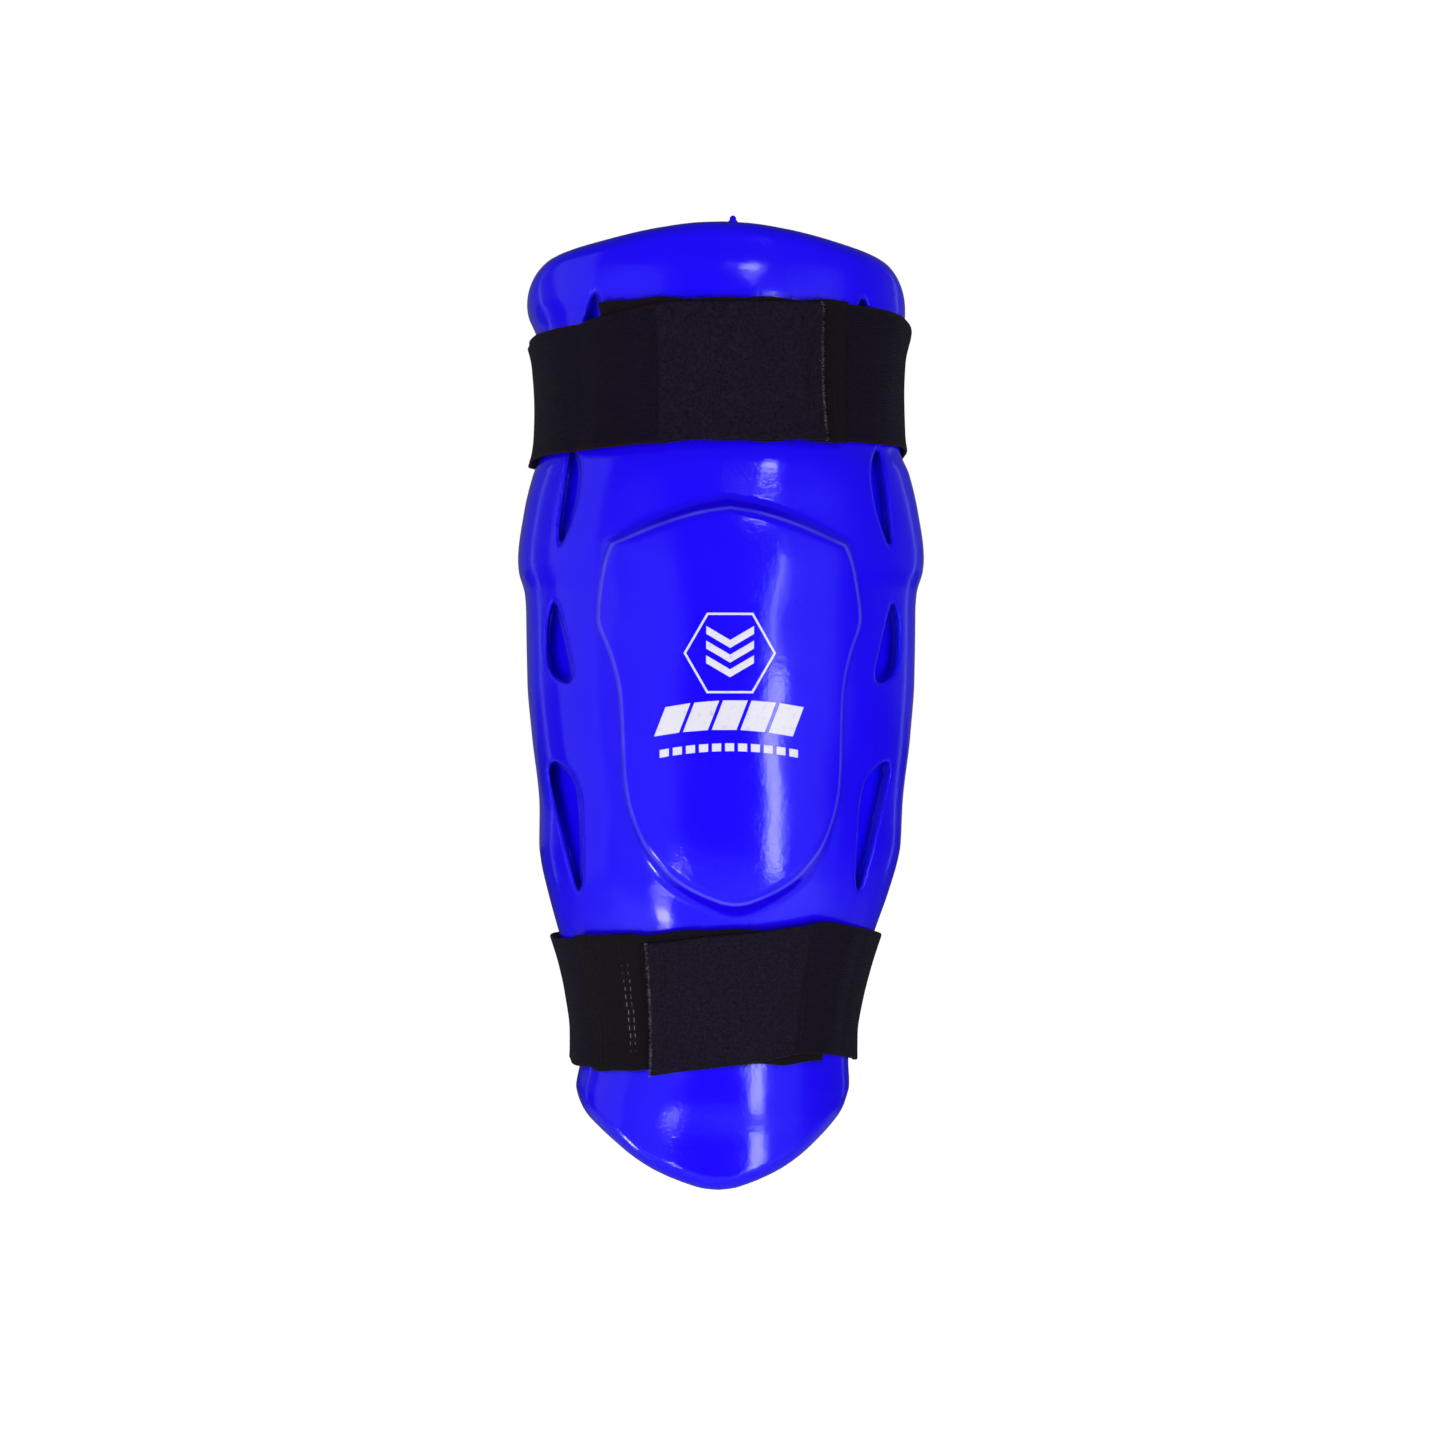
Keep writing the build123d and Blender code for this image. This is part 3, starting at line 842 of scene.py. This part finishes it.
class Strap:
    """One strap's route round the guard and behind the limb.

    A place along it is its run: millimetres from the middle of the front, first round the
    anchor's side. It passes the middle of the front again after a whole lap.

    lifts are (turn, how far the strap sits above its CAD height); lean is the outer end's slant;
    trimmed, how much shorter the hook tab is than its CAD solid; tacks, how far from the loop
    tape's end extra rows of stitches are; pull, the share of its width lost where it is stretched.
    """

    def __init__(self, name, sign, lifts, lean, trimmed, tacks, pull):
        self.name, self.sign, self.lean, self.tacks, self.pull = name, sign, lean, tacks, pull
        low, high = node_box(f"{name}_anchor_elastic")
        self.middle, self.half = (low[2] + high[2]) / 2, (high[2] - low[2]) / 2
        self.rear_depth = node_box(f"{name}_back_elastic")[1][1] - REAR_Y - ON_BACK - WEB
        self.turns = np.linspace(-QUARTER, 5 * QUARTER, 3001)
        x, y, _, _ = self.plan(self.turns, self.middle)
        runs = np.concatenate([[0.0], np.cumsum(np.hypot(np.diff(x), np.diff(y)))])
        self.xs = (x - MIDDLE(self.middle)) * sign
        self.runs = runs - np.interp(0.0, self.turns, runs)
        self.lift_turns, self.lifts = zip(*lifts)
        self.seam = self.run_at(self.edge_x("hook_tab", 0) - 1.5, 1)
        self.free = self.run_at(self.edge_x("hook_tab", 1), 1) - trimmed
        self.loop = [self.run_at(self.edge_x("loop_tape", i), 0) for i in (0, 1)]
        self.behind = self.run_of_turn(2 * QUARTER)

    def edge_x(self, part, side):
        """The x of a CAD piece's near or far edge, as if the strap weren't mirrored."""
        low, high = node_box(f"{self.name}_{part}")
        return sorted((low[0] * self.sign, high[0] * self.sign))[side]

    def run_of_turn(self, turn):
        return float(np.interp(turn, self.turns, self.runs))

    def run_at(self, x, lap):
        """The run at an x of the front, on the first or the second lap."""
        here = np.abs(self.turns - 4 * QUARTER * lap) <= QUARTER
        return float(np.interp(x, self.xs[here], self.runs[here]))

    def plan(self, turn, z):
        """Points on the oval and their outward directions, seen from above."""
        half, depth = HALF_WIDTH(np.asarray(z, float)), DEPTH(np.asarray(z, float))
        t = (np.asarray(turn, float) + QUARTER) % (4 * QUARTER) - QUARTER
        angle = np.clip(t, -1, 1) * math.pi / 2
        away = np.clip(t - 1, 0, STRAIGHT) / STRAIGHT
        home = np.clip(t - 3 + STRAIGHT, 0, STRAIGHT) / STRAIGHT
        round_back = np.clip((t - 1 - STRAIGHT) / (2 - 2 * STRAIGHT), 0, 1) * math.pi
        across, ahead = np.sin(angle), np.maximum(np.cos(angle), 0)
        reach, lean = 2 / BOXINESS, 2 * (BOXINESS - 1) / BOXINESS
        behind = t > 1 + STRAIGHT
        x = np.where(behind, half * np.cos(round_back), half * np.sign(across) * np.abs(across) ** reach)
        y = -depth * ahead**reach + REAR_Y * (away - home) + self.rear_depth * np.sin(round_back)
        out_x = np.where(behind, np.cos(round_back) / half, np.sign(across) * np.abs(across) ** lean / half)
        out_y = np.where(t > 1, np.sin(round_back) / self.rear_depth, -(ahead**lean) / depth)
        size = np.hypot(out_x, out_y)
        return x * self.sign + MIDDLE(np.asarray(z, float)), y, out_x / size * self.sign, out_y / size

    def at(self, run, v, height):
        """Points at runs along the strap, v up from its middle, and heights above the guard."""
        slant = np.clip((run - self.seam) / SLANT_RUN, 0, 1)
        run = run + self.lean * v * slant
        turn = np.interp(run, self.runs, self.turns)
        (start, coming), (end, going) = PULLED
        stretched = np.clip((turn - start) / coming, 0, 1) * np.clip((end - turn) / going, 0, 1)
        z = self.middle + v * (1 - self.pull * stretched) + np.interp(turn, self.lift_turns, self.lifts)
        x, y, out_x, out_y = self.plan(turn, z)
        return np.stack([x + out_x * height, y + out_y * height, z], axis=-1)

    def front_height(self, run):
        """How far the anchor's underside, and its end, stands off the guard."""
        behind = np.clip((run - self.run_of_turn(QUARTER)) / SETTLE, 0, 1)
        return ON_GUARD + (ON_BACK - ON_GUARD) * behind

    def outer_height(self, run):
        """How far the outer layer's underside stands off the guard, climbing on to the tape."""
        side = self.run_of_turn(3 * QUARTER)
        climb = self.run_at(self.edge_x("loop_tape", 0), 1)
        behind = [(side - SETTLE, ON_BACK)]
        beside = [(side, 0.35), (climb - 11.0, 0.6)]
        on_tape = [(climb - 3.0, ON_PILE - 0.7), (climb + 4.0, ON_PILE), (self.free - 5.0, ON_PILE)]
        lifted_end = [(self.free + 1.0, ON_PILE + 0.5)]
        return np.interp(run, *zip(*behind, *beside, *on_tape, *lifted_end))


def strip_section(half, thick):
    """Points round a strip's cross-section, (across, height), with round long edges."""
    r = thick / 2
    flat = np.linspace(-(half - r), half - r, SECTION_STEPS)
    arc = np.radians([60, 25, -25, -60])
    top = [(x, thick) for x in flat]
    right = [(half - r + r * math.cos(a), r + r * math.sin(a)) for a in arc]
    bottom = [(x, 0.0) for x in flat[::-1]]
    left = [(-(half - r) - r * math.cos(a), r + r * math.sin(a)) for a in arc[::-1]]
    return np.array(top + right + bottom + left)


def make_ribbon(strap, name, start, end, height, material, half, thick=WEB, waver=0.12):
    """A strip of webbing along the strap between two runs."""
    count = max(3, int(abs(end - start) / RUN_STEP))
    section = strip_section(half, thick)
    run, v = np.meshgrid(np.linspace(start, end, count), section[:, 0], indexing="ij")
    share = v / half
    v = v + waver * share * (np.sin(run / 5.3) + np.sin(run / 2.9 + 3 * share)) * 0.5
    curl = EDGE_CURL * np.abs(share) ** 5
    rise = height(run) + section[None, :, 1] + curl + RIPPLE * np.sin(run / 6.1 + share * 4)
    points = strap.at(run, v, rise).reshape(-1, 3)
    ring = len(section)
    faces = tube_faces(count, ring)
    total = len(points)
    points = np.concatenate([points, points[:ring], points[-ring:]])
    faces += [tuple(range(total, total + ring))[::-1], tuple(range(total + ring, total + 2 * ring))]
    obj = make_mesh(name, points, faces, material, outward=True)
    layer = obj.data.uv_layers.new(name="weave")
    flat = np.stack([run.ravel(), v.ravel()], axis=1)
    flat = np.concatenate([flat, flat[:ring], flat[-ring:]])
    corner = np.empty(len(obj.data.loops), int)
    obj.data.loops.foreach_get("vertex_index", corner)
    layer.data.foreach_set("uv", flat[corner].ravel())
    return obj


def add_tube(path, radius, sides, points, faces):
    """Adds a thin tube along a path to a mesh's points and faces."""
    first = len(points)
    path = np.asarray(path, float)
    ahead = np.gradient(path, axis=0)
    for place, way in zip(path, ahead):
        way = way / max(np.linalg.norm(way), 1e-9)
        side = np.cross(way, (0.31, 0.23, 0.92))
        side /= max(np.linalg.norm(side), 1e-9)
        other = np.cross(way, side)
        for a in np.arange(sides) * 2 * math.pi / sides:
            points.append(place + radius * (side * math.cos(a) + other * math.sin(a)))
    faces += tube_faces(len(path), sides, first)
    last = first + (len(path) - 1) * sides
    faces.append(tuple(range(first, first + sides))[::-1])
    faces.append(tuple(range(last, last + sides)))


def make_stitches(strap, name, runs, top, material=THREAD, rise_above=0.16):
    """Rows of lockstitches across the strap, each diving back into the webbing at its ends."""
    points, faces = [], []
    pitch, margin, unevenness, dive, steps = 2.9, 2.2, 0.12, 0.42, 6
    reach = strap.half - margin
    along = np.linspace(0, pitch * 0.92, steps)
    arch = top + rise_above - dive * np.abs(np.linspace(-1, 1, steps)) ** 3
    for run in runs:
        for v in np.arange(-reach, reach, pitch):
            wobble = RNG.normal(0, unevenness)
            path = strap.at(np.full(steps, run + wobble), v + along, arch)
            add_tube(path, THREAD_R, 6, points, faces)
    return make_mesh(name, points, faces, material)


def fibre(root, way, length, bend):
    """A short fibre's path: it leaves along way and droops to one side."""
    steps = np.linspace(0, 1, 4)[:, None]
    return root + way * length * steps + bend * length * steps**2


def make_fuzz(strap, name, rows, count, height, material, length=(0.6, 2.2), radius=FIBRE_R):
    """Stray fibres along strip edges: each row is (run from, v from, run to, v to, way)."""
    points, faces = [], []
    for run_a, v_a, run_b, v_b, way in rows:
        for _ in range(count // len(rows)):
            share = RNG.random()
            run, v = run_a + (run_b - run_a) * share, v_a + (v_b - v_a) * share
            high = height + RNG.uniform(-0.5, 0.6)
            root = strap.at(np.array([run]), np.array([v]), np.array([high]))[0]
            ahead = strap.at(np.array([run + 1]), np.array([v]), np.array([high]))[0] - root
            out = strap.at(np.array([run]), np.array([v]), np.array([high + 1]))[0] - root
            up = np.array([0.0, 0.0, 1.0])
            lead = ahead * way[0] + up * way[1] + out * RNG.normal(0.15, 0.3)
            lead = lead + ahead * RNG.normal(0, 0.5) + up * RNG.normal(0, 0.25)
            lead /= np.linalg.norm(lead)
            bend = (ahead * RNG.normal(0, 0.5) + up * RNG.normal(0, 0.5)) * 0.6
            path = fibre(root - lead * 0.4, lead, RNG.uniform(*length), bend)
            add_tube(path, radius * RNG.uniform(0.7, 1.4), 3, points, faces)
    return make_mesh(name, points, faces, material)


def hinge_blend(piece, place, way):
    """Bakes a piece's transform into its mesh; nothing bends it across the hinge."""
    place, way = Vector(place), Vector(way)
    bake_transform(piece)


def pile_height(run):
    """How far the loop tape's underside stands off the guard."""
    return np.full(np.shape(run), ON_ANCHOR)


def make_strap(strap):
    """All the pieces of one strap, in place of its CAD nodes."""
    name, sign, half = strap.name, strap.sign, strap.half
    back, side, tab = f"{name}_back", f"{name}_side", f"{name}_tab"
    far_hinge = np.array(strap.at(np.array(strap.run_of_turn(1.2)), 0.0, 0.0)) * MM
    near_hinge = np.array(strap.at(np.array(strap.run_of_turn(2.8)), 0.0, 0.0)) * MM
    seam_place = np.array(strap.at(np.array(strap.seam), 0.0, 0.0)) * MM

    front_web = make_ribbon(
        strap, f"{name}_front_web", strap.loop[0] + 1.0, strap.behind, strap.front_height, ELASTIC, half
    )
    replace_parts(front_web, f"{name}_anchor_elastic")
    hinge_blend(front_web, far_hinge, (0, 1, 0))

    rear_web = make_ribbon(
        strap, f"{name}_rear_web", strap.behind, strap.seam, strap.outer_height, ELASTIC, half
    )
    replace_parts(rear_web, f"{name}_back_elastic", f"{name}_side_elastic")
    hinge_blend(rear_web, near_hinge, (0, -1, 0))

    hook_web = make_ribbon(
        strap, f"{name}_hook_web", strap.seam, strap.free, strap.outer_height, HOOK, half - 0.2
    )
    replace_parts(hook_web, f"{name}_hook_tab")
    hinge_blend(hook_web, seam_place, (sign, 0, 0))

    pile = make_ribbon(
        strap, f"{name}_loop_pile", *strap.loop, pile_height, PILE, half + 0.7, thick=PILE_RISE, waver=0.6
    )
    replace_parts(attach(pile, "guard"), f"{name}_loop_tape")

    on_nap = ON_ANCHOR + PILE_RISE - STITCH_SINK
    loop_rows = [strap.loop[0] + 4.0, strap.loop[1] - 4.0, strap.loop[1] - 6.5]
    thread = make_stitches(strap, f"{name}_loop_thread", loop_rows, on_nap)
    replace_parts(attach(thread, "guard"), f"{name}_loop_stitches")
    if strap.tacks:
        rows = [strap.loop[1] - inset for inset in strap.tacks]
        thread = make_stitches(strap, f"{name}_loop_tacks", rows, on_nap, FRAY, 0.13)
        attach(thread, "guard")
    top = ON_PILE + WEB
    thread = make_stitches(strap, f"{name}_seam_thread", [strap.seam - 1.5], top)
    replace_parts(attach(thread, side), f"{name}_seam_stitches")
    thread = make_stitches(strap, f"{name}_tab_thread", [strap.free - 5.0], top)
    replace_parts(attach(thread, tab), f"{name}_tab_stitches")

    low, high = -(half + 0.6), half + 0.6
    start, end = strap.loop
    rows = [(start, low, end, low, (0, -1)), (start, high, end, high, (0, 1)), (end, low, end, high, (1, 0))]
    fuzz = make_fuzz(strap, f"{name}_loop_fuzz", rows, 700, ON_ANCHOR + PILE_RISE / 2, PILE)
    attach(fuzz, "guard")
    rows = [(strap.free - 0.2, -half, strap.free - 0.2, half, (1, 0))]
    fray = make_fuzz(
        strap, f"{name}_tab_fray", rows, 800, ON_PILE + WEB, FRAY, length=(0.4, 1.1), radius=0.055
    )
    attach(fray, tab)


UPPER_LIFTS = [
    *((-0.6, 1.0), (0.0, 1.8), (0.7, 2.6), (1.0, 1.2), (3.0, -3.0)),
    *((3.5, -3.0), (3.65, -1.8), (3.85, 0.9), (4.4, 1.8)),
]
LOWER_LIFTS = [(-0.6, 6.0), (0.0, 5.8), (1.0, -0.5), (3.0, -0.5), (3.68, 9.0), (4.35, 0.0)]
STRAPS = [
    Strap("upper", 1, lifts=UPPER_LIFTS, lean=-0.04, trimmed=5.0, tacks=[], pull=0.075),
    Strap("lower", -1, lifts=LOWER_LIFTS, lean=-0.03, trimmed=4.2, tacks=[17.0, 19.0], pull=0.02),
]


make_guard()
make_nub()
make_emblem()
for strap in STRAPS:
    make_strap(strap)


# ---- stage, light and camera --------------------------------------------------------------------
FLOOR_Z = -0.8
FLOOR_HALF = 12.0
WORLD_SPAN = (-0.3, 0.8)  # from front to back, where the first strength gives way to the second
WORLD_STRENGTHS = (0.05, 0.08)
WHITE = (1.0, 1.0, 1.0)
ROSE = (1.0, 0.95, 0.97)


def make_floor():
    """A plain floor: greyish to the guard, white to the camera."""
    mesh = bpy.data.meshes.new("floor")
    corners = [(x * FLOOR_HALF, y * FLOOR_HALF, FLOOR_Z) for x, y in ((-1, -1), (1, -1), (1, 1), (-1, 1))]
    mesh.from_pydata(corners, [], [(0, 1, 2, 3)])
    floor = bpy.data.objects.new("floor", mesh)
    bpy.context.scene.collection.objects.link(floor)
    n = Nodes("pale_floor")
    seen = n.add("ShaderNodeLightPath").outputs["Is Camera Ray"]
    n.set(Base_Color=(0.36, 0.36, 0.37, 1), Roughness=0.9, Emission_Color=(1, 1, 1, 1))
    n.set(Emission_Strength=n.math("MULTIPLY", seen, 1.0))
    mesh.materials.append(n.material)


def make_world():
    """A dim studio, a little brighter behind the guard, and white to the camera."""
    world = bpy.data.worlds.new("studio")
    bpy.context.scene.world = world
    world.use_nodes = True
    tree = world.node_tree
    back = tree.nodes["Background"]
    coords = tree.nodes.new("ShaderNodeTexCoord")
    split = tree.nodes.new("ShaderNodeSeparateXYZ")
    ramp = tree.nodes.new("ShaderNodeMapRange")
    ramp.inputs["From Min"].default_value, ramp.inputs["From Max"].default_value = WORLD_SPAN
    ramp.inputs["To Min"].default_value, ramp.inputs["To Max"].default_value = WORLD_STRENGTHS
    path = tree.nodes.new("ShaderNodeLightPath")
    mix = tree.nodes.new("ShaderNodeMix")
    tree.links.new(coords.outputs["Generated"], split.inputs[0])
    tree.links.new(split.outputs["Y"], ramp.inputs["Value"])
    tree.links.new(path.outputs["Is Camera Ray"], mix.inputs["Factor"])
    tree.links.new(ramp.outputs["Result"], mix.inputs["A"])
    mix.inputs["B"].default_value = 1.0
    tree.links.new(mix.outputs["Result"], back.inputs["Strength"])
    back.inputs["Color"].default_value = (1, 1, 1, 1)


def add_light(name, azimuth, elevation, distance, size, power, colour, mirrored):
    """A soft box aimed at the guard; azimuth 0 is straight in front, positive to the right."""
    light = bpy.data.lights.new(name, "AREA")
    light.shape = "RECTANGLE"
    light.size, light.size_y = size
    light.energy = power
    light.color = colour
    obj = bpy.data.objects.new(name, light)
    a, e = math.radians(azimuth), math.radians(elevation)
    way = Vector((math.sin(a) * math.cos(e), -math.cos(a) * math.cos(e), math.sin(e)))
    obj.location = way * distance
    obj.rotation_euler = (-way).to_track_quat("-Z", "Y").to_euler()
    obj.visible_glossy = mirrored
    bpy.context.scene.collection.objects.link(obj)


# Each light: name, azimuth, elevation, distance in metres, size, power, colour.
FILL_LIGHTS = [
    ("fill_left", -38, -4, 1.8, (1.2, 1.2), 19.0, WHITE),
    ("fill_right", 38, -4, 1.8, (1.2, 1.2), 18.5, WHITE),
    ("fill_back_left", -125, 10, 1.8, (1.2, 1.2), 8.0, WHITE),
    ("fill_back_right", 125, 10, 1.8, (1.2, 1.2), 9.0, WHITE),
]
MIRRORED_LIGHTS = [
    ("strip_right", 22, -15, 1.6, (0.22, 0.58), 2.7, WHITE),
    ("strip_right_top", 21, 3, 1.6, (0.06, 0.30), 0.30, WHITE),
    ("spot_high", 13, 19.5, 1.5, (0.13, 0.05), 0.40, (1.0, 0.94, 1.0)),
    ("low_left", -21, -27, 1.4, (0.17, 0.03), 0.55, (1.0, 0.90, 0.93)),
    ("low_far_left", -75, -39, 1.2, (0.16, 0.16), 1.6, ROSE),
    ("low_far_right", 75, -56, 1.2, (0.20, 0.20), 1.6, ROSE),
    ("edge_left", -122, 4, 1.8, (0.07, 1.4), 0.2, WHITE),
    ("edge_right", 124, 4, 1.8, (0.07, 1.4), 0.2, WHITE),
    ("wrap_left", -78, 6, 2.0, (1.5, 2.2), 3.0, WHITE),
]


def make_lights():
    """Wide fills that only shade, then the boxes that the glossy vinyl mirrors."""
    for row in FILL_LIGHTS:
        add_light(*row, mirrored=False)
    for row in MIRRORED_LIGHTS:
        add_light(*row, mirrored=True)


def make_camera():
    """The photo's view, a little from the left and level."""
    sensor, distance, view_width = 36.0, 0.94, 0.556
    data = bpy.data.cameras.new("camera")
    data.sensor_width = sensor
    data.lens = sensor * distance / view_width
    camera = bpy.data.objects.new("camera", data)
    azimuth = math.radians(-4.0)
    aim = Vector((0.0008, 0.0, 0.0043))
    camera.location = aim + Vector((math.sin(azimuth), -math.cos(azimuth), 0)) * distance
    camera.rotation_euler = (math.radians(90), 0, azimuth)
    bpy.context.scene.collection.objects.link(camera)
    bpy.context.scene.camera = camera


make_floor()
make_world()
make_lights()
make_camera()
bpy.context.scene.view_settings.view_transform = "Standard"
